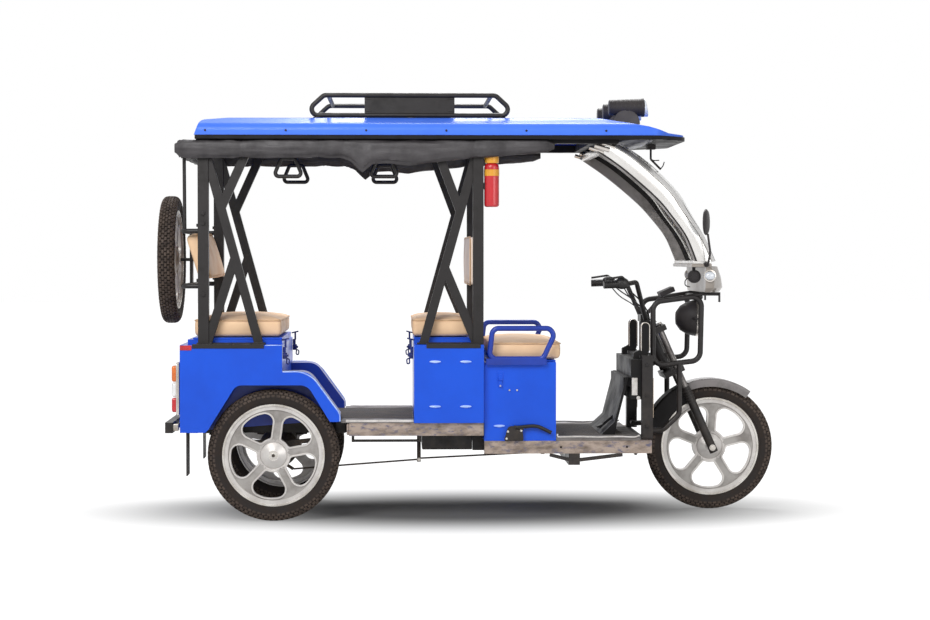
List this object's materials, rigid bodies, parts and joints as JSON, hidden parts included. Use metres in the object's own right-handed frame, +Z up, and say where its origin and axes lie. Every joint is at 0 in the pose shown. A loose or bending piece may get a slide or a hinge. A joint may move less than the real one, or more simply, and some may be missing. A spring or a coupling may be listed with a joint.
{
  "type": "electric rickshaw",
  "caption": "Three-wheeled electric rickshaw with two facing benches, a driver's seat, lattice pillars, a roof with luggage rack and handlebar steering.",
  "frame": {"origin": "on the ground at the middle of the vehicle's length and width", "axes": "+X forwards, +Y to the vehicle's left, +Z up"},
  "size_m": [2.878, 0.99, 1.94],
  "materials": {
    "galvanised_rail": "galvanised, scuffed",
    "black_frame": "satin black paint",
    "floor_mat": "ribbed rubber mat on sheet",
    "blue_paint": "gloss blue paint",
    "roof_blue": "gloss blue moulded shell",
    "lamp_black": "satin black",
    "curtain": "coated black tarpaulin",
    "handle": "satin black",
    "seat_cover": "beige leathercloth",
    "tyre": "black rubber",
    "wheel_silver": "silver painted casting",
    "tail_lens": "red and amber lens",
    "flap": "black rubber sheet",
    "axle_black": "black cast iron",
    "linkage": "zinc plated",
    "battery": "black case",
    "shield": "black paint",
    "mudguard": "grey and black",
    "stainless": "polished stainless",
    "screen_glass": "clear",
    "nose": "beige moulded cowl",
    "mirror": "black",
    "extinguisher": "gloss red"
  },
  "bodies": {
    "root": {"side_rails": "galvanised_rail", "chassis_frame": "black_frame", "floor_pans": "floor_mat", "rear_body": "blue_paint", "middle_seat_box": "blue_paint", "driver_seat_box": "blue_paint", "armrests": "blue_paint", "pillar_frames_right": "black_frame", "pillar_frames_left": "black_frame", "roof_frame": "black_frame", "roof_shell": "roof_blue", "luggage_rack": "black_frame", "roof_lamps": "lamp_black", "rolled_curtains": "curtain", "grab_handles": "handle", "rear_backrest": "seat_cover", "middle_backrest": "seat_cover", "spare_tyre": "tyre", "spare_rim": "wheel_silver", "spare_carrier": "black_frame", "tail_lamps": "tail_lens", "rear_bumper": "black_frame", "mud_flaps": "flap", "rear_axle": "axle_black", "leaf_springs": "axle_black", "brake_linkage": "linkage", "parking_lever": "linkage", "battery_and_controller": "battery", "front_frame": "black_frame", "leg_shield": "shield", "windscreen_frame": "stainless", "windscreen": "screen_glass", "nose_fairing": "nose", "horn_and_indicators": "lamp_black", "headlamp": "lamp_black", "mirrors": "mirror", "wiper": "mirror", "fire_extinguisher": "extinguisher"},
    "steering": {"fork": "black_frame", "handlebar": "black_frame", "front_mudguard": "mudguard"},
    "front_wheel": {"front_tyre": "tyre", "front_rim": "wheel_silver"},
    "rear_wheel_right": {"rear_tyre_right": "tyre", "rear_rim_right": "wheel_silver"},
    "rear_wheel_left": {"rear_tyre_left": "tyre", "rear_rim_left": "wheel_silver"},
    "rear_seat_flap": {"rear_seat_lid": "blue_paint", "rear_cushion": "seat_cover"},
    "middle_seat_flap": {"middle_seat_lid": "blue_paint", "middle_cushion": "seat_cover"},
    "driver_seat_flap": {"driver_seat_lid": "blue_paint", "driver_cushion": "seat_cover"}
  },
  "joints": [
    {"name": "steering", "type": "hinge", "parent": "root", "child": "steering", "pos_m": [1.10346, 0, 0.28273], "axis": [-0.4067, 0, 0.9135], "range_deg": [-38, 38]},
    {"name": "front_wheel_spin", "type": "hinge", "parent": "steering", "child": "front_wheel", "pos_m": [1.14, 0, 0.299], "axis": [0, 1, 0], "continuous": true},
    {"name": "rear_wheel_right_spin", "type": "hinge", "parent": "root", "child": "rear_wheel_right", "pos_m": [-0.898, -0.418, 0.299], "axis": [0, 1, 0], "continuous": true},
    {"name": "rear_wheel_left_spin", "type": "hinge", "parent": "root", "child": "rear_wheel_left", "pos_m": [-0.898, 0.418, 0.299], "axis": [0, 1, 0], "continuous": true},
    {"name": "rear_seat_hinge", "type": "hinge", "parent": "root", "child": "rear_seat_flap", "pos_m": [-1.263, 0, 0.8213], "axis": [0, -1, 0], "range_deg": [0, 45]},
    {"name": "middle_seat_hinge", "type": "hinge", "parent": "root", "child": "middle_seat_flap", "pos_m": [-0.002, 0, 0.8213], "axis": [0, 1, 0], "range_deg": [0, 50]},
    {"name": "driver_seat_hinge", "type": "hinge", "parent": "root", "child": "driver_seat_flap", "pos_m": [0.379, 0, 0.7193], "axis": [0, 1, 0], "range_deg": [0, 70]}
  ]
}
